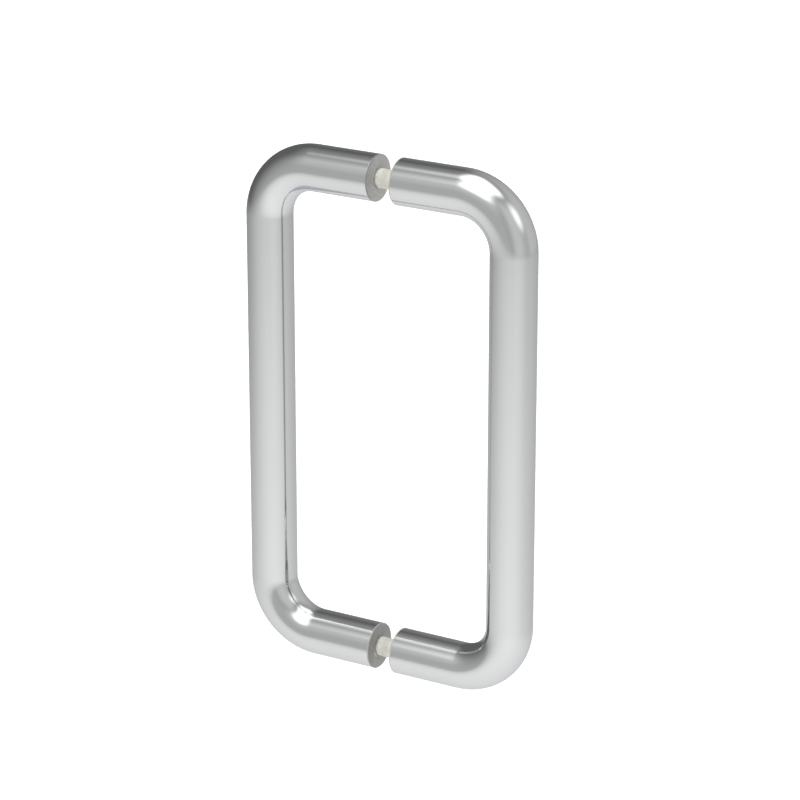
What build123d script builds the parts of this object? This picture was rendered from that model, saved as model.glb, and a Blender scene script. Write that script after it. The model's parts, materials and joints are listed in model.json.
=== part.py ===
from build123d import *

import math
import os

# Two bridge pull handles, back to back through a glass door, with everything that joins them.
# X runs through the door from outside (-X) to inside (+X), Y along its face and Z up.
# The origin is in the middle of the glass, midway between the two fixings. Millimetres.

# Door
glass_thickness = 10.0
fixing_centres = 200.0  # between the legs' axes, as drilled in the glass

# Handle bar, bent from one solid length
bar_diameter = 19.0
handle_projection = 59.7  # from the end of a leg to the far side of the grip
bend_radius = 22.0  # on the bar's centreline
bar_end_chamfer = 0.3

# Soft washers that keep the metal off the glass
washer_thickness = 0.5
washer_hole_clearance = 0.4  # radial, round the bush

# Bushes that keep the studs off the glass
bush_wall = 0.75
bush_bore_clearance = 0.2  # radial, round the stud
bush_end_clearance = 0.1  # to the end of each leg, so that the washers take the clamping load

# Studs: screwed into the outside handle, plain and grooved in the inside handle
stud_diameter = 6.0
thread_engagement = 12.0  # length held in the outside handle
stud_nose = 3.75  # plain length past the groove, in the inside handle
stud_end_chamfer = 0.3
stud_socket_across_flats = 3.0
stud_socket_depth = 2.0
thread_clearance = 0.05  # radial, between nominal diameters
slide_clearance = 0.1  # radial, between the plain stud and its bore

# Bores in the legs' ends
bore_end_room = 2.0  # past the end of the stud
drill_point_angle = 118.0

# Cone-point set screws that lock the inside handle onto the studs, from below
set_screw_diameter = 5.0
set_screw_setback = 7.0  # from the end of the leg
set_screw_recess = 1.05  # below the bar's surface, which leaves a 6 mm screw
set_screw_tip_radius = 0.6
set_screw_end_chamfer = 0.5
set_screw_socket_across_flats = 2.5
set_screw_socket_depth = 2.5
set_screw_mouth_chamfer = 0.6
groove_depth = 0.6
groove_clearance = 0.05  # between the set screw's point and the groove

# Worked out from the sizes above
bar_radius = bar_diameter / 2
stud_radius = stud_diameter / 2
glass_face = glass_thickness / 2
leg_end = glass_face + washer_thickness
grip_axis = leg_end + handle_projection - bar_radius
fixing_height = fixing_centres / 2
bush_bore_radius = stud_radius + bush_bore_clearance
bush_radius = bush_bore_radius + bush_wall
washer_hole_radius = bush_radius + washer_hole_clearance
threaded_end = leg_end + thread_engagement
set_screw_place = leg_end + set_screw_setback
groove_half_bottom = set_screw_tip_radius + groove_clearance
groove_half_top = groove_half_bottom + groove_depth
plain_end = set_screw_place + groove_half_top + stud_nose
set_screw_radius = set_screw_diameter / 2
groove_bottom_radius = stud_radius - groove_depth
set_screw_tip = groove_bottom_radius + groove_clearance
set_screw_head = bar_radius - set_screw_recess

# Distances that only make a cutter reach past what it cuts
overrun = 1.0


def turned(*profile):
    """A solid turned about the X axis, from the closed half profile's (distance along X, radius) points."""
    with BuildPart() as solid:
        with BuildSketch():
            with BuildLine():
                Polyline(*profile, close=True)
            make_face()
        revolve(axis=Axis.X)
    return solid.part


def hexagon_socket(mouth, depth, across_flats):
    """The cutter of a socket for a hexagon key, from its mouth back along -X."""
    with BuildPart() as cutter:
        with BuildSketch(Plane.YZ.offset(mouth - depth)):
            RegularPolygon(across_flats / 2, 6, major_radius=False)
        extrude(amount=depth + overrun)
    return cutter.part


def bent_bar():
    """The bar of the inside handle: two legs, two bends and the grip, swept along one centreline."""
    with BuildPart() as bar:
        with BuildLine(Plane.XZ) as centreline:
            FilletPolyline(
                (leg_end, -fixing_height),
                (grip_axis, -fixing_height),
                (grip_axis, fixing_height),
                (leg_end, fixing_height),
                radius=bend_radius,
            )
        with BuildSketch(centreline.line ^ 0):
            Circle(bar_radius)
        sweep()
        leg_ends = bar.faces().filter_by(Plane.YZ)
        chamfer(leg_ends.edges(), length=bar_end_chamfer)
    return bar.part


def blind_bore(radius, end_of_stud):
    """The cutter of a drilled hole in the end of a leg, with a drill point at its bottom."""
    bottom = end_of_stud + bore_end_room
    point = radius / math.tan(math.radians(drill_point_angle / 2))
    return turned(
        (leg_end - overrun, 0),
        (leg_end - overrun, radius),
        (bottom, radius),
        (bottom + point, 0),
    )


def set_screw_hole():
    """The cutter of the cross hole in a leg, from the stud's axis down through the wall."""
    hole_radius = set_screw_radius + thread_clearance
    mouth_radius = hole_radius + set_screw_mouth_chamfer
    hole = turned(
        (0, 0),
        (0, hole_radius),
        (bar_radius - set_screw_mouth_chamfer, hole_radius),
        (bar_radius, mouth_radius),
        (bar_radius + overrun, mouth_radius),
        (bar_radius + overrun, 0),
    )
    return Pos(set_screw_place, 0, 0) * Rot(0, 90, 0) * hole


def at_both_fixings(cutter):
    """Two copies of a cutter, one on the axis of each leg."""
    return [Pos(0, 0, height) * cutter for height in (fixing_height, -fixing_height)]


def outside_handle():
    """The handle outside the door, whose legs are tapped for the studs."""
    tapped_hole = blind_bore(stud_radius + thread_clearance, threaded_end)
    tapped = bent_bar() - at_both_fixings(tapped_hole)
    return mirror(tapped, about=Plane.YZ)


def inside_handle():
    """The handle inside the door, whose legs slide over the studs and are cross drilled for the set screws."""
    plain_bore = blind_bore(stud_radius + slide_clearance, plain_end)
    bored = bent_bar() - at_both_fixings(plain_bore)
    return bored - at_both_fixings(set_screw_hole())


def washer(side):
    """A flat ring between a leg's end and the glass; side is -1 outside the door and 1 inside."""
    ring = turned(
        (glass_face, washer_hole_radius),
        (glass_face, bar_radius),
        (leg_end, bar_radius),
        (leg_end, washer_hole_radius),
    )
    return ring if side > 0 else mirror(ring, about=Plane.YZ)


def bush():
    """A sleeve through the glass and both washers, cut square from tube."""
    end = leg_end - bush_end_clearance
    return turned(
        (-end, bush_bore_radius),
        (-end, bush_radius),
        (end, bush_radius),
        (end, bush_bore_radius),
    )


def stud():
    """A stud with the set screw's groove near its inside end, and a key socket in that end."""
    tip_radius = stud_radius - stud_end_chamfer
    body = turned(
        (-threaded_end, 0),
        (-threaded_end, tip_radius),
        (-threaded_end + stud_end_chamfer, stud_radius),
        (set_screw_place - groove_half_top, stud_radius),
        (set_screw_place - groove_half_bottom, groove_bottom_radius),
        (set_screw_place + groove_half_bottom, groove_bottom_radius),
        (set_screw_place + groove_half_top, stud_radius),
        (plain_end - stud_end_chamfer, stud_radius),
        (plain_end, tip_radius),
        (plain_end, 0),
    )
    return body - hexagon_socket(plain_end, stud_socket_depth, stud_socket_across_flats)


def set_screw():
    """A set screw that hangs below the stud's axis, with its cone in the groove and its key socket down."""
    cone_end = set_screw_tip + set_screw_radius - set_screw_tip_radius
    body = turned(
        (set_screw_tip, 0),
        (set_screw_tip, set_screw_tip_radius),
        (cone_end, set_screw_radius),
        (set_screw_head - set_screw_end_chamfer, set_screw_radius),
        (set_screw_head, set_screw_radius - set_screw_end_chamfer),
        (set_screw_head, 0),
    )
    socket = hexagon_socket(set_screw_head, set_screw_socket_depth, set_screw_socket_across_flats)
    return Pos(set_screw_place, 0, 0) * Rot(0, 90, 0) * (body - socket)


nodes = {"outside_handle": outside_handle(), "inside_handle": inside_handle()}
for place, height in (("top", fixing_height), ("bottom", -fixing_height)):
    at_fixing = Pos(0, 0, height)
    nodes[f"outside_washer_{place}"] = at_fixing * washer(-1)
    nodes[f"inside_washer_{place}"] = at_fixing * washer(1)
    nodes[f"bush_{place}"] = at_fixing * bush()
    nodes[f"stud_{place}"] = at_fixing * stud()
    nodes[f"set_screw_{place}"] = at_fixing * set_screw()

os.makedirs("parts", exist_ok=True)
for name, solid in nodes.items():
    solid.label = name
    export_step(solid, f"parts/{name}.step")
    print(f"{name}: {solid.volume / 1000:.3f} cm3")
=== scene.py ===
# %% [markdown]
# # A back-to-back pair of bridge pull handles, dressed for rendering
# The object is hardware for a glass door: two bent bars, chrome plated, that face each other through the glass. Two
# studs join them, with a nylon bush round each stud and a soft vinyl washer between the metal and the glass.
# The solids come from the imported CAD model, in metres. Everything here is placed from that model's own boxes, and
# what a box can't show, such as a bend or a chamfer, is a named size.

# %% Load the frame
import json
import math

import bmesh
import bpy
import numpy as np
from mathutils import Matrix, Vector


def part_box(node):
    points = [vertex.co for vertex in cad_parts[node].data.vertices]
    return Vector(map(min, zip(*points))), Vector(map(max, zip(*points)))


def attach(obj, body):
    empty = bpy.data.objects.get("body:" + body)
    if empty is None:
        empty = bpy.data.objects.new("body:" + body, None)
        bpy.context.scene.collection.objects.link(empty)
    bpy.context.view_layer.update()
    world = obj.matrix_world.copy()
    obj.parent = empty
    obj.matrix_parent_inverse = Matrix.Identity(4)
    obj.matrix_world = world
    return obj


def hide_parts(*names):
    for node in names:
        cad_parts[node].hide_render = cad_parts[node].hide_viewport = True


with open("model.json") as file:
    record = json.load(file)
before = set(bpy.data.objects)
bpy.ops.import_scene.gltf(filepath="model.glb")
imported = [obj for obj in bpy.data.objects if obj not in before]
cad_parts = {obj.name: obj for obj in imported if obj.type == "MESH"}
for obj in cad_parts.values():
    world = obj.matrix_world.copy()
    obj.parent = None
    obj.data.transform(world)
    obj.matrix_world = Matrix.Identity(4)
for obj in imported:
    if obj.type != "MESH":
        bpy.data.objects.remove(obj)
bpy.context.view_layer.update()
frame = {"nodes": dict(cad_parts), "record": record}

nodes = frame["nodes"]

# %% [markdown]
# Colours are written as sRGB hex values, as on a paint chip, and a render needs linear light. The sRGB curve is a
# short straight piece near black and a power of 2.4 above it, so one function undoes it for each channel.
# Materials, the studio and the floor are all built from nodes. One function adds a node, sets its properties and
# fills its live sockets in order, each with a plain value or with what another node gives.


# %% Colour and node helpers
def linear(hex_colour):
    """sRGB hex to linear RGBA: c / 12.92 below 0.04045, and ((c + 0.055) / 1.055) ** 2.4 above it."""
    srgb = np.array([int(hex_colour[i : i + 2], 16) for i in (1, 3, 5)]) / 255
    light = np.where(srgb <= 0.04045, srgb / 12.92, ((srgb + 0.055) / 1.055) ** 2.4)
    return (*light.tolist(), 1.0)


def add_node(tree, kind, *inputs, by_name=None, **settings):
    """Adds a node, sets its properties, and fills its live sockets in order and then by name.
    An input is a value, an output, or a node, which gives its first live output. None leaves a socket as it is."""
    node = tree.nodes.new("ShaderNode" + kind)
    for name, value in settings.items():
        setattr(node, name, value)
    live = [socket for socket in node.inputs if socket.enabled]
    named = [(node.inputs[name], value) for name, value in (by_name or {}).items()]
    for socket, value in [*zip(live, inputs), *named]:
        if isinstance(value, bpy.types.Node):
            value = next(output for output in value.outputs if output.enabled)
        if isinstance(value, bpy.types.NodeSocket):
            tree.links.new(value, socket)
        elif value is not None:
            socket.default_value = value
    return node


# %% [markdown]
# The camera looks down a little from the front right, from far away with a long lens, so that the bars stay almost
# parallel. Its place is worked out from an azimuth, an elevation and a distance, and its three axes are the columns
# of its matrix: right, up and back. A fit outside this script gave these numbers and the lens, so they aren't round.

# %% Camera
camera_azimuth = math.radians(30.29)
camera_elevation = math.radians(19.74)
camera_distance = 1.3403
aim_right, aim_up = 0.00408, 0.00788

back = Vector((
    math.sin(camera_azimuth) * math.cos(camera_elevation),
    -math.cos(camera_azimuth) * math.cos(camera_elevation),
    math.sin(camera_elevation),
))
right = Vector((math.cos(camera_azimuth), math.sin(camera_azimuth), 0))
up = back.cross(right)
eye = right * aim_right + up * aim_up + back * camera_distance

lens = bpy.data.cameras.new("product_camera")
lens.lens = 150.26
lens.sensor_width = 36
lens.clip_end = 50
camera = bpy.data.objects.new("product_camera", lens)
camera.matrix_world = Matrix((right, up, back)).transposed().to_4x4()
camera.location = eye
bpy.context.scene.collection.objects.link(camera)
bpy.context.scene.camera = camera
bpy.context.scene.view_settings.view_transform = "Standard"
print("camera at", [round(v, 3) for v in eye])

# %% [markdown]
# Polished metal shows the room more than itself, so the room is laid out like a product studio: grey walls, a dark
# flag at the left, panels a little paler or darker than the walls, a white ceiling box, a big soft key box high in
# front and a small fill box at the right. The levels, angles and widths in the next cells weren't chosen by hand: a
# least-squares fit of such a room to the reflections on real handles, run outside this script, gave them, so they
# aren't round numbers. Real lamps could do it too, but a world built from directions is smooth, quick and without
# noise. It starts from the direction each ray looks in: its height, and its azimuth from the front towards the right.

# %% Directions of the studio
world = bpy.data.worlds.new("soft_studio")
bpy.context.scene.world = world
world.use_nodes = True
studio = world.node_tree
studio.nodes.clear()
looking = add_node(studio, "TexCoord").outputs["Generated"]
ways = add_node(studio, "SeparateXYZ", looking)
height = ways.outputs["Z"]
towards_front = add_node(studio, "Math", ways.outputs["Y"], -1.0, operation="MULTIPLY")
wall_azimuth = add_node(studio, "Math", ways.outputs["X"], towards_front, operation="ARCTAN2")


def directions(azimuth, elevation, turn=0.0):
    """Facing, right and up unit vectors of a light at degrees of azimuth, from -Y towards +X, and of elevation.
    Right and up are then turned about the facing direction by degrees."""
    a, e, t = (math.radians(angle) for angle in (azimuth, elevation, turn))
    facing = Vector((math.sin(a) * math.cos(e), -math.cos(a) * math.cos(e), math.sin(e)))
    level = Vector((math.cos(a), math.sin(a), 0))
    steep = facing.cross(level)
    return facing, level * math.cos(t) + steep * math.sin(t), steep * math.cos(t) - level * math.sin(t)


# %% [markdown]
# Three kinds of feature make the room. A soft box is a rectangle: a direction meets the plane one unit away at
# (d . right, d . up) / (d . facing), and the light falls off with the distance outside the rectangle's half sizes.
# A glow is a round one: the dot product with its middle runs through a smooth step. A panel is an upright band of
# wall: the distance in azimuth from its middle runs through a smooth step.
# A smooth step is a Map Range node that eases in and out, so that no light has a hard edge.

# %% Kinds of light
smooth_step = {"interpolation_type": "SMOOTHSTEP"}


def soft_box(below, level, azimuth, elevation, turn, half_width, half_height, edge):
    """Adds a level of light to what lies below it, given as a node.
    All of it shines inside the half sizes, and it falls smoothly to 0 over the edge."""
    facing, across, up = directions(azimuth, elevation, turn)
    depth = add_node(studio, "VectorMath", looking, facing, operation="DOT_PRODUCT")
    # A direction that faces away gets a tiny depth instead, which puts it far outside the rectangle.
    depth = add_node(studio, "Math", depth, 0.001, operation="MAXIMUM")
    u = add_node(studio, "VectorMath", looking, across, operation="DOT_PRODUCT")
    v = add_node(studio, "VectorMath", looking, up, operation="DOT_PRODUCT")
    on_plane = add_node(studio, "VectorMath", add_node(studio, "CombineXYZ", u, v, 0.0), depth, operation="DIVIDE")
    mirrored = add_node(studio, "VectorMath", on_plane, operation="ABSOLUTE")
    beyond = add_node(studio, "VectorMath", mirrored, (half_width, half_height, 0), operation="SUBTRACT")
    beyond = add_node(studio, "VectorMath", beyond, (0, 0, 0), operation="MAXIMUM")
    outside = add_node(studio, "VectorMath", beyond, operation="LENGTH")
    light = add_node(studio, "MapRange", outside, edge, 0.0, 0.0, level, **smooth_step)
    return add_node(studio, "Math", below, light, operation="ADD")


def glow(below, level, azimuth, elevation, core, rim):
    """Adds a level of light within core degrees of a direction, falling smoothly to 0 at rim degrees."""
    facing = directions(azimuth, elevation)[0]
    dot = add_node(studio, "VectorMath", looking, facing, operation="DOT_PRODUCT")
    cos_rim, cos_core = (math.cos(math.radians(angle)) for angle in (rim, core))
    light = add_node(studio, "MapRange", dot, cos_rim, cos_core, 0.0, level, **smooth_step)
    return add_node(studio, "Math", below, light, operation="ADD")


def wall_panel(below, level, azimuth, core, rim):
    """Adds a level to the walls within core degrees of an azimuth, falling smoothly to 0 at rim degrees."""
    off = add_node(studio, "Math", wall_azimuth, math.radians(azimuth), operation="SUBTRACT")
    wrapped = add_node(studio, "Math", off, math.pi, -math.pi, operation="WRAP")
    away = add_node(studio, "Math", wrapped, operation="ABSOLUTE")
    band = add_node(studio, "MapRange", away, math.radians(rim), math.radians(core), 0.0, level, **smooth_step)
    return add_node(studio, "Math", below, band, operation="ADD")


# %% [markdown]
# The dark flag is what gives the metal its contrast: its left edge is fairly sharp and its right edge fades slowly
# towards the front, so it is made from two smooth steps in azimuth that are multiplied. The panels are then added to
# the walls, from the front round by the right to the back. Levels are light levels, where 1 is white, and angles are
# in degrees.

# %% Walls
flag_left = add_node(studio, "MapRange", wall_azimuth, math.radians(-166), math.radians(-141), 0.0, 1.0, **smooth_step)
flag_right = add_node(studio, "MapRange", wall_azimuth, math.radians(-21), math.radians(-105), 0.0, 1.0, **smooth_step)
flag = add_node(studio, "Math", flag_left, flag_right, operation="MULTIPLY")
wall_grey = 0.618
flag_depth = -0.45
walls = add_node(studio, "Math", flag, flag_depth, wall_grey, operation="MULTIPLY_ADD")
for panel in (
    {"level": -0.038, "azimuth": 24, "core": 5, "rim": 15},
    {"level": 0.199, "azimuth": 55.6, "core": 5, "rim": 35},
    {"level": 0.036, "azimuth": 105, "core": 24, "rim": 45},
    {"level": 0.105, "azimuth": 149, "core": 33, "rim": 47},
    {"level": -0.119, "azimuth": 187, "core": 2, "rim": 34},
):
    walls = wall_panel(walls, **panel)
print("walls: grey", wall_grey, "and", round(wall_grey + flag_depth, 3), "in the flag")

# %% [markdown]
# Higher up the walls turn into a darker cove, which sets off the light boxes: the ceiling box overhead, the key box in
# front, with a wide weak glow round it, and the fill box at the right. A box's half sizes and its soft edge are
# tangents of angles, so 0.2 is about 11 degrees.

# %% Cove and light boxes
cove_grey = 0.423
cove_start, cove_top = math.sin(math.radians(38)), math.sin(math.radians(78))
cove = add_node(studio, "MapRange", height, cove_start, cove_top, 0.0, 1.0, **smooth_step)
room = add_node(studio, "Mix", cove, walls, cove_grey, data_type="FLOAT")
room = soft_box(room, level=2.18, azimuth=3.6, elevation=88.5, turn=-29.3,
                half_width=0.218, half_height=0.180, edge=0.395)  # ceiling box
room = soft_box(room, level=2.50, azimuth=-8.3, elevation=54.8, turn=-3.1,
                half_width=0.020, half_height=0.112, edge=0.478)  # key box
room = soft_box(room, level=1.19, azimuth=91.2, elevation=34.7, turn=-21.7,
                half_width=0.005, half_height=0.039, edge=0.412)  # fill box
room = glow(room, level=0.203, azimuth=-13.8, elevation=46.6, core=5.0, rim=40.4)
print("cove grey:", cove_grey, "above a height of", round(cove_top, 3))

# %% [markdown]
# Camera rays, and rays that come straight through something clear, see plain white instead. The background is then
# white and the light on the object stays as it is. Glossy rays don't see this white: they see the room, which is
# what gives the metal its light and dark bands.

# %% White for the camera
rays = add_node(studio, "LightPath")
seen_direct = add_node(studio, "Math", rays.outputs["Is Camera Ray"], rays.outputs["Is Transmission Ray"],
                       operation="MAXIMUM")
shown = add_node(studio, "Mix", seen_direct, room, 1.0, data_type="FLOAT")
background = add_node(studio, "Background", (1, 1, 1, 1), shown)
add_node(studio, "OutputWorld", background)
print("studio nodes:", len(studio.nodes))

# %% [markdown]
# The floor is a wide pale disc a metre below the handles, as far as a door pull is from the ground. One flat polygon
# with many corners does for it, because only its outline has to be round.

# %% Floor
floor_height = -1.0
floor_radius = 8.0
corners = 128
turn = np.linspace(0, 2 * np.pi, corners, endpoint=False)
edge = np.stack([floor_radius * np.cos(turn), floor_radius * np.sin(turn), np.full(corners, floor_height)], 1)
floor_mesh = bpy.data.meshes.new("studio_floor")
floor_mesh.from_pydata(edge.tolist(), [], [list(range(corners))])
floor = bpy.data.objects.new("studio_floor", floor_mesh)
bpy.context.scene.collection.objects.link(floor)
print("floor:", floor_radius, "m round,", -floor_height, "m below the middle of the glass")

# %% [markdown]
# The floor is matt white, and it adds a little light of its own, so that it reaches white where nothing shades it,
# still darkens in the object's shadow, and fills the undersides. Mirror reflections get their own version of it,
# which Light Path picks out. The metal sees it brightest in front, where the key light falls, and fading into the
# walls further out: level = low + extra / (1 + (distance from the hot spot / its width) squared). The fit that gave
# the room's numbers gave these as well.

# %% Floor finish
paper = bpy.data.materials.new("matt_white_floor")
paper.use_nodes = True
tree = paper.node_tree
tree.nodes.clear()
place = add_node(tree, "TexCoord").outputs["Object"]
rays = add_node(tree, "LightPath")
matt = add_node(tree, "BsdfDiffuse", linear("#E6E6E6"))
own_level = 0.45
own_light = add_node(tree, "Emission", (1, 1, 1, 1), own_level)
lit = add_node(tree, "AddShader", matt, own_light)

hot_spot = (0.71, -1.54, 0)
spot_width = 3.94
low_level, extra_level = 0.256, 1.033
fade_start, fade_end = 0.99, 7.9
flat_place = add_node(tree, "VectorMath", place, (1, 1, 0), operation="MULTIPLY")
from_middle = add_node(tree, "VectorMath", flat_place, operation="LENGTH")
from_spot = add_node(tree, "VectorMath", flat_place, hot_spot, operation="DISTANCE")
widths = add_node(tree, "Math", from_spot, spot_width, operation="DIVIDE")
one_and_square = add_node(tree, "Math", widths, widths, 1.0, operation="MULTIPLY_ADD")
extra = add_node(tree, "Math", extra_level, one_and_square, operation="DIVIDE")
level = add_node(tree, "Math", extra, low_level, operation="ADD")
mirrored = add_node(tree, "Emission", (0.993, 1, 1, 1), level)
gone = add_node(tree, "BsdfTransparent")
fade = add_node(tree, "MapRange", from_middle, fade_start, fade_end, 0.0, 1.0, **smooth_step)
for_metal = add_node(tree, "MixShader", fade, mirrored, gone)
final = add_node(tree, "MixShader", rays.outputs["Is Glossy Ray"], lit, for_metal)
add_node(tree, "OutputMaterial", final)
floor.data.materials.append(paper)
print("the metal sees the floor at", low_level, "to", low_level + extra_level)

# %% [markdown]
# The bars are the main thing to see, and a mirror finish shows every facet. So they are made again here, finer than
# the solids, with the same sizes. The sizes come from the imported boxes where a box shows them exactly, and the
# others are named, in millimetres.

# %% Sizes
millimetre = 0.001
bar_radius = 19.0 / 2 * millimetre
bend_radius = 22.0 * millimetre
end_rounding = 0.05 * millimetre
tapped_radius = 3.05 * millimetre
sliding_radius = 3.1 * millimetre
bore_end_room = 2.0 * millimetre
drill_half_angle = math.radians(59)

inside_low, inside_high = (np.array(corner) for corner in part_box("inside_handle"))
stud_low, stud_high = (np.array(corner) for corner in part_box("stud_top"))
screw_low, screw_high = (np.array(corner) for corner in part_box("set_screw_top"))
leg_end = inside_low[0]
grip_axis = inside_high[0] - bar_radius
fixing_height = (stud_low[2] + stud_high[2]) / 2
threaded_end, plain_end = -stud_low[0], stud_high[0]
screw_place = (screw_low[0] + screw_high[0]) / 2
screw_tip, screw_head = fixing_height - screw_high[2], fixing_height - screw_low[2]
print("leg end, grip axis, fixing height, set screw place, tip and head in mm:",
      [round(v / millimetre, 3) for v in (leg_end, grip_axis, fixing_height, screw_place, screw_tip, screw_head)])

# %% [markdown]
# A mesh goes in as arrays: points, and faces as rows of four point numbers. Rings of equal count make a grid, and
# each face joins four neighbours. A ring of no radius is a pole, whose points are welded. The outward side of every
# face is worked out on the welded, closed surface, and edges sharper than 25 degrees stay crisp. A piece that stands
# for a CAD node replaces it and has the same material slot.

# %% Mesh helpers
weld_distance = 0.0001 * millimetre
crisp_angle = math.radians(25)


def ring_faces(rings, around):
    """Faces of a grid of rings: each joins column j to j + 1, modulo the count, on rings i and i + 1."""
    i, j = np.meshgrid(np.arange(rings - 1), np.arange(around), indexing="ij")
    k = (j + 1) % around
    return np.stack([i * around + j, i * around + k, (i + 1) * around + k, (i + 1) * around + j], -1)


def make_piece(name, node, slot, points, faces, **vectors):
    """A welded, outward-facing, smooth mesh object from points in metres and quads, in place of a CAD node.
    Each named array of vectors is kept on the points as an attribute, for a finish that follows the surface."""
    points, faces = points.reshape(-1, 3), faces.reshape(-1, 4)
    mesh = bpy.data.meshes.new(name)
    mesh.vertices.add(len(points))
    mesh.vertices.foreach_set("co", np.ascontiguousarray(points, np.float32).ravel())
    mesh.loops.add(faces.size)
    mesh.loops.foreach_set("vertex_index", faces.ravel().astype(np.int32))
    mesh.polygons.add(len(faces))
    mesh.polygons.foreach_set("loop_start", np.arange(0, faces.size, 4, dtype=np.int32))
    mesh.update(calc_edges=True)
    for key, values in vectors.items():
        kept = mesh.attributes.new(key, "FLOAT_VECTOR", "POINT")
        kept.data.foreach_set("vector", np.ascontiguousarray(values, np.float32).ravel())
    welded = bmesh.new()
    welded.from_mesh(mesh)
    bmesh.ops.remove_doubles(welded, verts=welded.verts, dist=weld_distance)
    bmesh.ops.recalc_face_normals(welded, faces=welded.faces)
    welded.to_mesh(mesh)
    open_edges = sum(len(edge.link_faces) != 2 for edge in welded.edges)
    volume = welded.calc_volume()
    welded.free()
    mesh.polygons.foreach_set("use_smooth", np.ones(len(mesh.polygons), bool))
    mesh.set_sharp_from_angle(angle=crisp_angle)
    piece = bpy.data.objects.new(name, mesh)
    bpy.context.scene.collection.objects.link(piece)
    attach(piece, "root")
    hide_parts(node)
    print(f"{name}: {len(mesh.polygons)} faces, {open_edges} open edges, {volume * 1e6:.3f} cm3")
    return piece


# %% [markdown]
# One ring of the bar is centre + radius x (cos t x Y + sin t x N), where N lies in the plane of the bend, square to
# the centreline. The rings start at the point of one drilled bore, run out of the bore, over the end of the leg and
# along the bar, and go into the other bore the same way, so the surface is closed. The edge of each leg's end is
# only just broken, by a small quarter circle. One more ring stands close behind it, because smooth shading spreads
# the tilt of an edge as far as the next ring, and a mirror finish would show that as a wide false highlight.
# Each point also keeps its place on the bar as it was before bending. Polishing marks follow the bar, so their
# pattern is drawn in that straight space, and it has no seam.

# %% Rings of a bar
around = 96
bend_rings = 60
grip_rings = 12  # in half of the grip
edge_rings = 6  # five on the quarter circle and one behind it
ring_behind = 1.5  # roundings from the leg's end
turns = np.linspace(0, 2 * np.pi, around, endpoint=False)
quarter = np.linspace(0, np.pi / 2, edge_rings - 1)


def bar_rings(bore_radius, bore_end, bore_rows, leg_rows):
    """Centres (x, z), normals (x, z), radii and straight-bar distances of all the rings of one handle.
    Half of them are listed, to the middle of the grip, and the other half is their mirror image in reverse."""
    drill_point = bore_end + bore_radius / math.tan(drill_half_angle)
    edge_x = leg_end + end_rounding * np.append(1 - np.cos(quarter), ring_behind)
    edge_radius = bar_radius - end_rounding * np.append(1 - np.sin(quarter), 0)
    leg_x = np.concatenate([[drill_point, bore_end], bore_rows, [leg_end], edge_x, leg_rows])
    leg_radius = np.concatenate([[0], np.full(len(bore_rows) + 2, bore_radius), edge_radius,
                                 np.full(len(leg_rows), bar_radius)])
    bend_start = grip_axis - bend_radius
    a = np.linspace(0, np.pi / 2, bend_rings)
    bend = np.stack([bend_start + bend_radius * np.sin(a), -fixing_height + bend_radius * (1 - np.cos(a))], 1)
    bend_normal = np.stack([-np.sin(a), np.cos(a)], 1)
    grip_z = np.linspace(bend_radius - fixing_height, 0, grip_rings)[1:]
    centre = np.concatenate([np.stack([leg_x, np.full(len(leg_x), -fixing_height)], 1), bend,
                             np.stack([np.full(len(grip_z), grip_axis), grip_z], 1)])
    normal = np.concatenate([np.tile([0.0, 1.0], (len(leg_x), 1)), bend_normal,
                             np.tile([-1.0, 0.0], (len(grip_z), 1))])
    radius = np.concatenate([leg_radius, np.full(len(bend) + len(grip_z), bar_radius)])
    grip_start = bend_start + bend_radius * np.pi / 2
    along = np.concatenate([leg_x, bend_start + bend_radius * a, grip_start + grip_z - (bend_radius - fixing_height)])
    other = slice(-2, None, -1)
    return (np.concatenate([centre, centre[other] * [1, -1]]), np.concatenate([normal, normal[other] * [1, -1]]),
            np.concatenate([radius, radius[other]]), np.concatenate([along, 2 * along[-1] - along[other]]))


def bar_grid(side, *rings):
    """Points and straight-bar places of a handle, as grids; side is 1 inside the door and -1 outside, mirrored."""
    centre, normal, radius, along = bar_rings(*rings)
    across, out = radius[:, None] * np.cos(turns), radius[:, None] * np.sin(turns)
    x = side * (centre[:, :1] + out * normal[:, :1])
    z = centre[:, 1:] + out * normal[:, 1:]
    return np.stack([x, across, z], -1), np.stack([along[:, None] + 0 * out, across, out], -1)


# %% [markdown]
# The outside handle is the plainer of the two: each leg has only the tapped bore for its stud. The bore's thread is
# hidden by the stud's, so it stays a plain cylinder.

# %% Outside bar
leg_rings = 16
plain_leg = np.linspace(leg_end, grip_axis - bend_radius, leg_rings)[1:-1]
grid, straight = bar_grid(-1, tapped_radius, threaded_end + bore_end_room, [], plain_leg)
outside_bar = make_piece("outside_bar", "outside_handle", "chrome_plate", grid, ring_faces(len(grid), around),
                         straight_bar=straight)

# %% [markdown]
# The inside handle has a cross hole in each leg, on the underside, for the set screw. A Boolean would cut it, but it
# leaves slivers that a mirror finish shows. So a patch of the grid is left out on the bar and another on the bore,
# and rings join their borders: from the bar's border they close in on the hole's rim, always on the bar's surface,
# then go down the chamfer and the hole's wall, and open out on the bore to its border. Both borders have 96 points.
# The rim is where a cone meets a cylinder: b(f) = mouth + sqrt(R^2 - b^2 sin^2 f) - R, found by repeating it.

# %% Patches and borders
hole_radius = 2.55 * millimetre
mouth_chamfer = 0.6 * millimetre
outer_cells, outer_step = 24, 0.4 * millimetre
inner_cells, inner_step = 12, 0.6 * millimetre
outer_columns, inner_columns = outer_cells, around // 2 - inner_cells


def patch(row, middle_column, rows, columns):
    """The slices of a grid that hold a patch of so many cells, from one row on and round a middle column."""
    first = middle_column - columns // 2
    return slice(row, row + rows), slice(first, first + columns)


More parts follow.
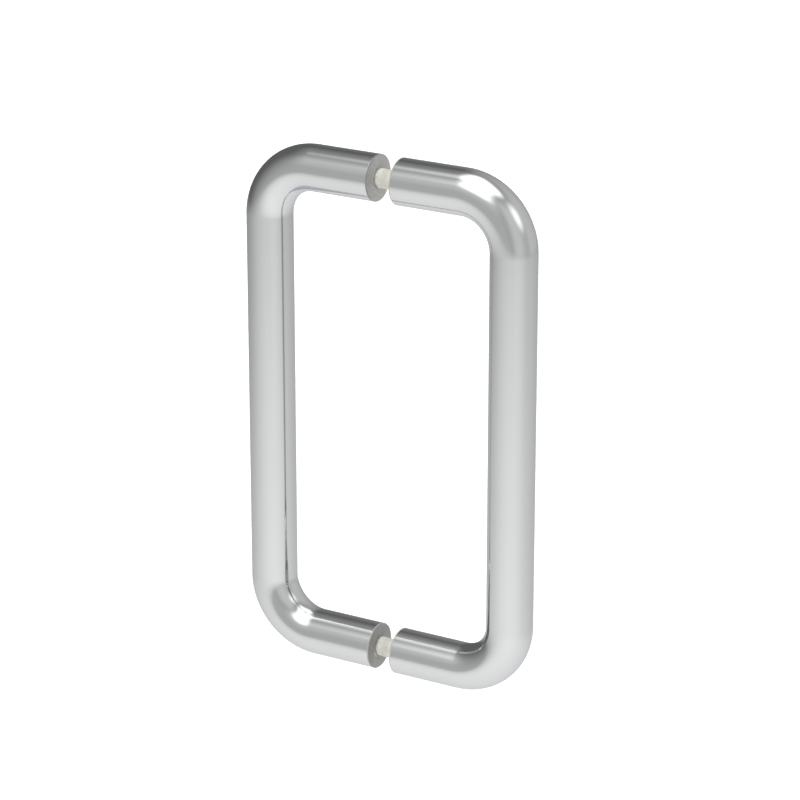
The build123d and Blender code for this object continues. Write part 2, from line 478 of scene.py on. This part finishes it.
def border(points, row, middle_column, rows, columns):
    """The points on the border of a patch of a grid, in no order; rows and columns are even counts of cells."""
    inside = points[patch(row, middle_column, rows + 1, columns + 1)]
    edge = np.ones(inside.shape[:2], bool)
    edge[1:-1, 1:-1] = False
    return inside[edge]


def unrolled(ring, radius):
    """A ring on a cylinder as (along, arc length round it, angle round the hole), in the order of that angle."""
    arc = radius * np.arcsin(ring[:, 1] / radius)
    angle = np.mod(np.arctan2(arc, ring[:, 0]) + 1e-6, 2 * np.pi)  # the shift keeps the first point first
    order = np.argsort(angle)
    return ring[order, 0], arc[order], angle[order]


def rolled(along, arc, radius):
    """Points (along, across, down) on a cylinder, from the arc length round it: sine and cosine of arc / radius."""
    return np.stack([along, radius * np.sin(arc / radius), radius * np.cos(arc / radius)], -1)


print("points on each border:", 2 * (outer_cells + outer_columns), 2 * (inner_cells + inner_columns))

# %% [markdown]
# Between two rings, the points move along straight lines in (along, arc length), from the place on one to the place
# on the other. A power of the step, 0.7 on the bar and 1.3 in the bore, spaces the rings so that their cells keep a
# good shape. Twelve rounds settle the rim far below a micrometre.

# %% Rings of a cross hole
rim_rounds = 12
closing_rings, wall_rings, opening_rings = 9, 9, 5


def hole_rings(outer, inner):
    """Rings from the bar's border through the cross hole to the bore's border, in the leg's (along, across, down)."""
    outer_along, outer_arc, outer_angle = unrolled(outer, bar_radius)
    inner_along, inner_arc, inner_angle = unrolled(inner, sliding_radius)
    rim = mouth = np.full(around, hole_radius + mouth_chamfer)
    for _ in range(rim_rounds):
        rim = mouth + np.sqrt(bar_radius**2 - (rim * np.sin(outer_angle)) ** 2) - bar_radius
    rim_along, rim_arc = rim * np.cos(outer_angle), bar_radius * np.arcsin(rim * np.sin(outer_angle) / bar_radius)
    closing = (np.linspace(0, 1, closing_rings) ** 0.7)[:, None]
    on_bar = rolled(outer_along + (rim_along - outer_along) * closing, outer_arc + (rim_arc - outer_arc) * closing,
                    bar_radius)

    sinking = np.linspace(0, 1, wall_rings)[:, None]
    angle = outer_angle + (inner_angle - outer_angle) * sinking
    across = hole_radius * np.sin(angle)
    foot_down = np.sqrt(sliding_radius**2 - across[-1] ** 2)
    down = (bar_radius - mouth_chamfer) * (1 - sinking) + foot_down * sinking
    on_wall = np.stack([hole_radius * np.cos(angle), across, down], -1)

    opening = (np.linspace(0, 1, opening_rings)[1:] ** 1.3)[:, None]
    foot_along = hole_radius * np.cos(inner_angle)
    foot_arc = sliding_radius * np.arcsin(across[-1] / sliding_radius)
    on_bore = rolled(foot_along + (inner_along - foot_along) * opening, foot_arc + (inner_arc - foot_arc) * opening,
                     sliding_radius)
    return np.concatenate([on_bar, on_wall, on_bore])


# %% [markdown]
# The inside bar's own grid gets rows at even steps near each cross hole, on the bar and in the bore. The lower leg
# comes first in the grid and the upper leg last, so the upper patches are counted back from the end. The underside
# is on the outside of the bend on the lower leg and on the inside of it on the upper leg, half a turn further round.

# %% Inside bar
outer_rows = screw_place + outer_step * np.arange(-outer_cells // 2, outer_cells // 2 + 1)
inner_rows = screw_place - inner_step * np.arange(-inner_cells // 2, inner_cells // 2 + 1)
leg_rows = np.concatenate([outer_rows, plain_leg[plain_leg > outer_rows[-1] + millimetre]])
grid, straight = bar_grid(1, sliding_radius, plain_end + bore_end_room, inner_rows, leg_rows)
cells = ring_faces(len(grid), around)
keep = np.ones(cells.shape[:2], bool)
first_inner = 2  # after the drill point and the bore's end
first_outer = 3 + len(inner_rows) + edge_rings
whole_length = straight[-1, 0, 0] + straight[0, 0, 0]
point_lists, straight_lists, face_lists = [grid.reshape(-1, 3)], [straight.reshape(-1, 3)], []
for upper, sign, column in ((False, -1, 3 * around // 4), (True, 1, around // 4)):
    borders = []
    for row, rows, columns in ((first_outer, outer_cells, outer_columns), (first_inner, inner_cells, inner_columns)):
        row = len(grid) - 1 - row - rows if upper else row
        keep[patch(row, column, rows, columns)] = False
        points = border(grid, row, column, rows, columns)
        borders.append(np.stack([points[:, 0] - screw_place, points[:, 1], sign * fixing_height - points[:, 2]], 1))
    hole = hole_rings(*borders)
    along, across, down = hole[..., 0] + screw_place, hole[..., 1], hole[..., 2]
    face_lists.append(ring_faces(len(hole), around).reshape(-1, 4) + sum(len(points) for points in point_lists))
    point_lists.append(np.stack([along, across, sign * fixing_height - down], -1).reshape(-1, 3))
    from_start = whole_length - along if upper else along
    straight_lists.append(np.stack([from_start, across, sign * down], -1).reshape(-1, 3))
inside_bar = make_piece("inside_bar", "inside_handle", "chrome_plate", np.concatenate(point_lists),
                        np.concatenate([cells[keep], *face_lists]), straight_bar=np.concatenate(straight_lists))

# %% [markdown]
# The studs and the set screws get real threads, because the solids keep them as plain cylinders. A thread is a
# surface of distance along the screw and angle round it: the radius depends only on how far the point is from the
# nearest crest, and the crest moves on by one pitch in one turn. A metric thread has a crest an eighth of a pitch
# wide and flanks at 30 degrees, down to a root 0.613 pitches deep. The chamfers, the groove and the cone are an
# outline that limits it, and the smaller radius of the two is used, as on a turned and rolled screw.

# %% Screw helpers
screw_turns = np.linspace(0, 2 * np.pi, 60, endpoint=False)
rows_per_pitch = 12
flank_slope = math.tan(math.radians(60))
thread_depth = 0.613  # in pitches
shared_row = 1e-9  # metres: a row this close to the thread's start belongs to it


def screw_grid(outline, thread, socket):
    """A screw's (along, radius) grid. outline lists (along, radius) from the closed end to the end with the socket,
    thread is (start, end, pitch, crest radius), and socket is (depth, across flats)."""
    start, end, pitch, crest = thread
    along, limit = np.array(outline).T
    rows = np.arange(start, end, pitch / rows_per_pitch)
    inside = rows[(rows > along[1]) & (rows < along[-1])]
    stations = np.concatenate([along, inside])
    order = np.argsort(stations, kind="stable")
    radii = np.concatenate([limit, np.interp(inside, along[1:], limit[1:])])
    stations, radii = stations[order], radii[order]
    phase = stations[:, None] / pitch - screw_turns / (2 * np.pi)
    from_crest = np.abs(phase - np.round(phase)) * pitch
    depth = np.clip((from_crest - pitch / 16) * flank_slope, 0, thread_depth * pitch)
    run_out = np.clip((end - stations) / pitch, 0, 1)[:, None]
    cut = (stations > start - shared_row)[:, None] & (stations < end)[:, None]
    grid = np.where(cut, np.minimum(radii[:, None], crest - depth * run_out), radii[:, None])
    hexagon = socket[1] / 2 / np.cos(np.mod(screw_turns + np.pi / 6, np.pi / 3) - np.pi / 6)
    bottom = stations[-1] - socket[0]
    stations = np.concatenate([stations, [stations[-1], bottom, bottom]])
    return stations, np.concatenate([grid, hexagon[None], hexagon[None], 0 * hexagon[None]])


def make_screw(name, node, slot, shape, origin, axis, u, v):
    """The screw's points are origin + along x axis + radius x (cos t x u + sin t x v).
    The axis, u and v are square to each other and right-handed."""
    stations, radii = screw_grid(*shape)
    origin, axis, u, v = (np.array(way, float) for way in (origin, axis, u, v))
    spokes = np.cos(screw_turns)[:, None] * u + np.sin(screw_turns)[:, None] * v
    points = origin + stations[:, None, None] * axis + radii[..., None] * spokes
    turned = np.stack([stations[:, None] + 0 * radii, radii, 0 * radii], -1)
    return make_piece(name, node, slot, points, ring_faces(len(points), len(screw_turns)), along_and_radius=turned)


# %% [markdown]
# A stud is 6 mm thick, threaded from its outside end through the glass, and plain in the inside handle, where a
# groove is turned for the set screw's cone. A set screw is 5 mm thick and points up at the stud from below, so its
# axis runs down, from its tip to its head. Both have a socket for a hexagon key. A thread is given as its start, its
# end, its pitch and its crest's radius, and a socket as its depth and its width across flats.

# %% Studs and set screws
stud_radius, stud_chamfer = 3.0 * millimetre, 0.3 * millimetre
groove_depth, groove_half_bottom, groove_half_top = 0.6 * millimetre, 0.65 * millimetre, 1.25 * millimetre
stud_outline = [
    (-threaded_end, 0), (-threaded_end, stud_radius - stud_chamfer), (stud_chamfer - threaded_end, stud_radius),
    (screw_place - groove_half_top, stud_radius), (screw_place - groove_half_bottom, stud_radius - groove_depth),
    (screw_place + groove_half_bottom, stud_radius - groove_depth), (screw_place + groove_half_top, stud_radius),
    (plain_end - stud_chamfer, stud_radius), (plain_end, stud_radius - stud_chamfer),
]
stud_thread = (-threaded_end, 4.5 * millimetre, 1.0 * millimetre, 2.97 * millimetre)
stud_socket = (2.0 * millimetre, 3.0 * millimetre)
stud_shape = (stud_outline, stud_thread, stud_socket)

screw_radius, tip_radius, head_chamfer = 2.5 * millimetre, 0.6 * millimetre, 0.5 * millimetre
set_screw_outline = [
    (screw_tip, 0), (screw_tip, tip_radius), (screw_tip + screw_radius - tip_radius, screw_radius),
    (screw_head - head_chamfer, screw_radius), (screw_head, screw_radius - head_chamfer),
]
set_screw_thread = (screw_tip, screw_head + millimetre, 0.8 * millimetre, 2.47 * millimetre)
set_screw_socket = (2.5 * millimetre, 2.5 * millimetre)
set_screw_shape = (set_screw_outline, set_screw_thread, set_screw_socket)

screws = {}
for where, level in (("top", fixing_height), ("bottom", -fixing_height)):
    screws[f"stud_{where}"] = make_screw(
        f"threaded_stud_{where}", f"stud_{where}", "zinc_plated_steel", stud_shape,
        origin=(0, 0, level), axis=(1, 0, 0), u=(0, 1, 0), v=(0, 0, 1))
    screws[f"set_screw_{where}"] = make_screw(
        f"cone_set_screw_{where}", f"set_screw_{where}", "black_steel", set_screw_shape,
        origin=(screw_place, 0, level), axis=(0, 0, -1), u=(0, 1, 0), v=(1, 0, 0))

# %% [markdown]
# The bushes and the washers are turned shapes: a closed profile of (place along X, radius) is carried round the
# fixing's axis. An arc rounds an outer edge, and a point close beside it keeps the tilt of its normals there.

# %% Turned rings
ring_turns = np.linspace(0, 2 * np.pi, 96, endpoint=False)


def arc(x, radius, size, start, stop):
    """Points of the circle of one size round (x, radius), from one angle to another, in degrees from the X way."""
    angle = np.radians(np.linspace(start, stop, 5))
    return np.stack([x + size * np.cos(angle), radius + size * np.sin(angle)], 1)


def make_ring(name, node, slot, profile, level):
    """The ring's points are (x, radius x cos t, level + radius x sin t) for each (x, radius) of its closed profile."""
    x, radius = profile[:, :1], profile[:, 1:]
    points = np.stack([x + 0 * ring_turns, radius * np.cos(ring_turns), level + radius * np.sin(ring_turns)], -1)
    return make_piece(name, node, slot, points, ring_faces(len(points), len(ring_turns)))


# %% [markdown]
# Each bush is a nylon sleeve turned from rod. It keeps the stud off the glass, and at both ends it steps down to a
# thin collar, so that a narrow dark groove shows beside each washer. The profile is the bore, one end, the collar,
# the shoulder and half of the body, and then the same way back on the other side.

# %% Bushes
bush_high = np.array(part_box("bush_top")[1])
bush_end, bush_radius = bush_high[0], bush_high[1]
bush_bore, collar_radius = 3.2 * millimetre, 3.5 * millimetre
collar_length, bush_rounding = 1.05 * millimetre, 0.1 * millimetre
shoulder = bush_end - collar_length
half_profile = np.concatenate([
    [(0, bush_bore), (bush_end, bush_bore), (bush_end, collar_radius), (shoulder, collar_radius)],
    arc(shoulder - bush_rounding, bush_radius - bush_rounding, bush_rounding, 0, 90),
    [(shoulder - 1.5 * bush_rounding, bush_radius), (0.5 * shoulder, bush_radius)],
])
bush_profile = np.concatenate([half_profile, (half_profile * [-1, 1])[::-1]])
rings = {}
for where, level in (("top", fixing_height), ("bottom", -fixing_height)):
    rings[f"bush_{where}"] = make_ring(f"nylon_bush_{where}", f"bush_{where}", "natural_nylon", bush_profile, level)

# %% [markdown]
# Each washer is punched from vinyl sheet as thick as the gap between the glass and the leg. Its hole fits over the
# bush's collar, and its rim is flush with the bar, with edges that the punch has only just rounded.

# %% Washers
washer_low, washer_high = (np.array(corner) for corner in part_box("inside_washer_top"))
glass_face = washer_low[0]
washer_hole, washer_rounding = 3.9 * millimetre, 0.06 * millimetre
beside = bar_radius - 2 * washer_rounding
washer_profile = np.concatenate([
    [(glass_face, washer_hole), (glass_face, beside)],
    arc(glass_face + washer_rounding, bar_radius - washer_rounding, washer_rounding, 180, 90),
    arc(leg_end - washer_rounding, bar_radius - washer_rounding, washer_rounding, 90, 0),
    [(leg_end, beside), (leg_end, washer_hole), (glass_face, washer_hole)],
])
for side, sign in (("outside", -1), ("inside", 1)):
    for where, level in (("top", fixing_height), ("bottom", -fixing_height)):
        rings[f"{side}_washer_{where}"] = make_ring(
            f"{side}_vinyl_washer_{where}", f"{side}_washer_{where}", "clear_vinyl",
            washer_profile * [sign, 1], level)

# %% [markdown]
# ## Finishes
# A finish is a Principled shader whose colour, roughness and bump come from patterns of a real size. Object
# coordinates are in metres, so a pattern of a given size in millimetres has a scale of one over that size.


# %% Finish helpers
def new_finish(name):
    """A new material's empty node tree, and the material."""
    material = bpy.data.materials.new(name)
    material.use_nodes = True
    material.node_tree.nodes.clear()
    return material.node_tree, material


# %% [markdown]
# The handles are brass bars that were bent, polished and chrome plated. Chromium is a fairly dark metal with a
# bluish cast at grazing angles. Polishing with a soft wheel leaves it slightly hazy, with very faint lines along the
# bar that change how sharp a reflection is and nothing else. They are 0.5 mm apart here, coarser than the real
# ones, so that they can show at all. The plating doesn't reach into the bores, where the bare brass shows.

# %% Chrome plate
tree, chrome = new_finish("polished_chrome_plate_on_brass")
on_bar = add_node(tree, "Attribute", attribute_name="straight_bar", attribute_type="GEOMETRY").outputs["Vector"]
stretched = add_node(tree, "VectorMath", on_bar, (1 / 60, 1, 1), operation="MULTIPLY")
lines = add_node(tree, "TexNoise", stretched, 1 / (0.5 * millimetre), 3.0, 0.5)
clouds = add_node(tree, "TexNoise", on_bar, 1 / (25 * millimetre), 2.0, 0.5)
haze = add_node(tree, "MapRange", lines, 0.3, 0.7, 0.11, 0.13)
plated = add_node(tree, "Mix", clouds, linear("#CBCCCC"), linear("#CDCECE"), data_type="RGBA")
off_axis = add_node(tree, "VectorMath", on_bar, (0, 1, 1), operation="MULTIPLY")
from_axis = add_node(tree, "VectorMath", off_axis, operation="LENGTH")
bare = add_node(tree, "MapRange", from_axis, 3.35 * millimetre, 3.2 * millimetre, 0.0, 1.0)
colour = add_node(tree, "Mix", bare, plated, linear("#B5985A"), data_type="RGBA")
roughness = add_node(tree, "Mix", bare, haze, 0.35, data_type="FLOAT")
relief = add_node(tree, "Bump", 0.04, 0.01 * millimetre, by_name={"Height": lines})
shader = add_node(tree, "BsdfPrincipled", by_name={
    "Base Color": colour, "Metallic": 1.0, "Roughness": roughness, "Normal": relief,
    "Specular Tint": linear("#EEEEF4"),
})
add_node(tree, "OutputMaterial", shader)
print(chrome.name, "has", len(tree.nodes), "nodes")

# %% [markdown]
# The washers are punched from clear soft vinyl sheet. Face on, such a thin sheet shows the dull grey end of the bar
# through it, speckled by the grain of both, which is drawn 0.8 mm wide here so that it can show. Painted shade makes
# one side of each face darker and warmer, and the lower pair darker than the upper.

# %% Vinyl, face on
tree, vinyl = new_finish("clear_soft_vinyl_sheet")
place = add_node(tree, "TexCoord").outputs["Object"]
parts = add_node(tree, "SeparateXYZ", place)
speckle = add_node(tree, "TexNoise", place, 1 / (0.8 * millimetre), 3.0, 0.6)
patches = add_node(tree, "TexNoise", place, 1 / (4 * millimetre), 2.0, 0.5)
# Painted shade: the face is painted darker and warmer towards -Y, with a wavering edge.
wavering = add_node(tree, "Math", patches, 4 * millimetre, parts.outputs["Y"], operation="MULTIPLY_ADD")
out_of_painted_shade = add_node(tree, "MapRange", wavering, -6.5 * millimetre, -0.5 * millimetre, 0.0, 1.0, **smooth_step)
grey = add_node(tree, "Mix", out_of_painted_shade, linear("#9E9E98"), linear("#AEAEAD"), data_type="RGBA")
# Painted shade: the lower washers are painted darker than the upper ones.
painted_shade_by_height = add_node(tree, "MapRange", parts.outputs["Z"], -fixing_height, fixing_height, 0.72, 1.0)
mottled = add_node(tree, "MapRange", speckle, 0.3, 0.7, 0.84, 1.16)
shade = add_node(tree, "Math", painted_shade_by_height, mottled, operation="MULTIPLY")
face = add_node(tree, "VectorMath", grey, shade, operation="MULTIPLY")
print("nodes for the washers' faces:", len(tree.nodes))

# %% [markdown]
# Edge on, the sheet is so deep that only its own cream colour is seen, so the rims are pale rings, apart from the
# outer ones, which are darker grey, the top one most. A painted highlight makes the edge of the hole pale on one side.
# The distance from the leg's axis tells face, rim and hole apart: sqrt(y^2 + (|z| - fixing height)^2).

# %% Vinyl, hole and rim
height_off = add_node(tree, "Math", parts.outputs["Z"], operation="ABSOLUTE")
height_off = add_node(tree, "Math", height_off, fixing_height, operation="SUBTRACT")
off_axis = add_node(tree, "CombineXYZ", 0.0, parts.outputs["Y"], height_off)
from_axis = add_node(tree, "VectorMath", off_axis, operation="LENGTH")
# Painted highlight: a pale arc on the edge of the hole, on one side.
one_side = add_node(tree, "VectorMath", off_axis, (0, -0.87, 0.5), operation="DOT_PRODUCT")
painted_hole_highlight = add_node(tree, "MapRange", one_side, 3.6 * millimetre, 4.4 * millimetre, 0.0, 0.55)
hole_ring = add_node(tree, "MapRange", from_axis, 4.9 * millimetre, 4.6 * millimetre, 0.0, 1.0)
painted_hole_highlight = add_node(tree, "Math", painted_hole_highlight, hole_ring, operation="MULTIPLY")
face = add_node(tree, "Mix", painted_hole_highlight, face, linear("#DCDCD2"), data_type="RGBA")

# The rims of the outer washers are darker grey, the top one most.
inner_and_lower = (0.5 / leg_end, 0, -0.3 / fixing_height)
paler_rim = add_node(tree, "VectorMath", place, inner_and_lower, operation="DOT_PRODUCT")
paler_rim = add_node(tree, "MapRange", paler_rim, -0.8, 0.2, 0.0, 1.0)
rim_colour = add_node(tree, "Mix", paler_rim, linear("#7B7C7F"), linear("#BBB7AA"), data_type="RGBA")
rim = add_node(tree, "MapRange", from_axis, bar_radius - 0.2 * millimetre, bar_radius - 0.1 * millimetre, 0.0, 1.0)
colour = add_node(tree, "Mix", rim, face, rim_colour, data_type="RGBA")
relief = add_node(tree, "Bump", 0.15, 0.02 * millimetre, by_name={"Height": speckle})
shader = add_node(tree, "BsdfPrincipled", by_name={
    "Base Color": colour, "Roughness": 0.5, "IOR": 1.53, "Normal": relief,
})
add_node(tree, "OutputMaterial", shader)
print(vinyl.name, "has", len(tree.nodes), "nodes")

# %% [markdown]
# Natural nylon is milky and cream coloured. Light that goes in comes out again a few millimetres away, which
# subsurface scattering gives, and it evens out the light and the shade on a piece as small as this. Where the wall
# rests on the stud, a little off the middle, the steel behind it makes it greyer. Turning leaves a fine grain, which
# is drawn 0.8 mm wide here so that it can show.

# %% Nylon
tree, nylon = new_finish("natural_nylon")
place = add_node(tree, "TexCoord").outputs["Object"]
along = add_node(tree, "SeparateXYZ", place).outputs["X"]
core_middle = -0.3 * millimetre
from_core = add_node(tree, "Math", along, core_middle, operation="SUBTRACT")
from_core = add_node(tree, "Math", from_core, operation="ABSOLUTE")
core = add_node(tree, "MapRange", from_core, 3.4 * millimetre, 0.4 * millimetre, 0.0, 1.0, **smooth_step)
milky = add_node(tree, "Mix", core, linear("#F3EFE0"), linear("#DAD7CC"), data_type="RGBA")
speckle = add_node(tree, "TexNoise", place, 1 / (0.8 * millimetre), 3.0, 0.6)
mottled = add_node(tree, "MapRange", speckle, 0.3, 0.7, 0.82, 1.02)
colour = add_node(tree, "VectorMath", milky, mottled, operation="MULTIPLY")
relief = add_node(tree, "Bump", 0.1, 0.02 * millimetre, by_name={"Height": speckle})
shader = add_node(tree, "BsdfPrincipled", by_name={
    "Base Color": colour, "Roughness": 0.4, "IOR": 1.53, "Normal": relief,
    "Subsurface Weight": 0.8, "Subsurface Radius": (1.0, 0.95, 0.85), "Subsurface Scale": 2.5 * millimetre,
})
add_node(tree, "OutputMaterial", shader)
print(nylon.name, "has", len(tree.nodes), "nodes")

# %% [markdown]
# The studs are turned from steel and zinc plated. Zinc with a clear passivation is a pale bluish metal with
# patches that lean to straw, and the turning marks show through it as rings, 0.15 mm apart. The crests of the
# thread rub bright and smooth, so each point's own radius on the screw makes them a little lighter.

# %% Zinc plate
tree, zinc = new_finish("zinc_plated_turned_steel")
place = add_node(tree, "TexCoord").outputs["Object"]
on_screw = add_node(tree, "Attribute", attribute_name="along_and_radius", attribute_type="GEOMETRY").outputs["Vector"]
parts = add_node(tree, "SeparateXYZ", on_screw)
ring_place = add_node(tree, "CombineXYZ", parts.outputs["X"], 0.0, 0.0)
marks = add_node(tree, "TexNoise", ring_place, 1 / (0.15 * millimetre), 2.0, 0.5)
patches = add_node(tree, "TexNoise", place, 1 / (3 * millimetre), 2.0, 0.5)
passivated = add_node(tree, "MapRange", patches, 0.35, 0.65, 0.0, 1.0)
tinted = add_node(tree, "Mix", passivated, linear("#BBC3CC"), linear("#CCCABE"), data_type="RGBA")
rubbed = add_node(tree, "MapRange", parts.outputs["Y"], 2.8 * millimetre, 2.97 * millimetre, 0.0, 0.6)
colour = add_node(tree, "Mix", rubbed, tinted, linear("#DADCDD"), data_type="RGBA")
dull = add_node(tree, "MapRange", marks, 0.3, 0.7, 0.26, 0.38)
roughness = add_node(tree, "Mix", rubbed, dull, 0.2, data_type="FLOAT")
relief = add_node(tree, "Bump", 0.2, 0.01 * millimetre, by_name={"Height": marks})
shader = add_node(tree, "BsdfPrincipled", by_name={
    "Base Color": colour, "Metallic": 1.0, "Roughness": roughness, "Normal": relief,
})
add_node(tree, "OutputMaterial", shader)
print(zinc.name, "has", len(tree.nodes), "nodes")

# %% [markdown]
# The set screws are hardened alloy steel with a black oxide finish, which is thin, slightly blue and a little oily.
# It is dark and half glossy, uneven in patches of about a millimetre, and where the thread's crests and the edge of
# the head have rubbed, the grey steel begins to show.

# %% Black oxide
tree, oxide = new_finish("black_oxide_alloy_steel")
place = add_node(tree, "TexCoord").outputs["Object"]
on_screw = add_node(tree, "Attribute", attribute_name="along_and_radius", attribute_type="GEOMETRY").outputs["Vector"]
radius_here = add_node(tree, "SeparateXYZ", on_screw).outputs["Y"]
patches = add_node(tree, "TexNoise", place, 1 / (1 * millimetre), 3.0, 0.5)
uneven = add_node(tree, "MapRange", patches, 0.3, 0.7, 0.0, 1.0)
black = add_node(tree, "Mix", uneven, linear("#3A3C42"), linear("#4A4A4C"), data_type="RGBA")
rubbed = add_node(tree, "MapRange", radius_here, 2.35 * millimetre, 2.47 * millimetre, 0.0, 0.4)
colour = add_node(tree, "Mix", rubbed, black, linear("#8C8E92"), data_type="RGBA")
oily = add_node(tree, "MapRange", uneven, 0.0, 1.0, 0.3, 0.45)
relief = add_node(tree, "Bump", 0.15, 0.01 * millimetre, by_name={"Height": uneven})
shader = add_node(tree, "BsdfPrincipled", by_name={
    "Base Color": colour, "Metallic": 1.0, "Roughness": oily, "Normal": relief,
})
add_node(tree, "OutputMaterial", shader)
print(oxide.name, "has", len(tree.nodes), "nodes")

# %% [markdown]
# The record says which finish each CAD node has. The node gets it in its own slot, and so does the piece that stands
# for it.

# %% Put the finishes on
finishes = {"chrome_plate": chrome, "clear_vinyl": vinyl, "natural_nylon": nylon,
            "zinc_plated_steel": zinc, "black_steel": oxide}
pieces = {"outside_handle": outside_bar, "inside_handle": inside_bar, **screws, **rings}
for subpart in frame["record"]["subparts"]:
    finish = finishes[subpart["material_slot"]]
    nodes[subpart["node"]].data.materials[0] = finish
    pieces[subpart["node"]].data.materials.append(finish)
print("finishes put on", len(pieces), "pieces")
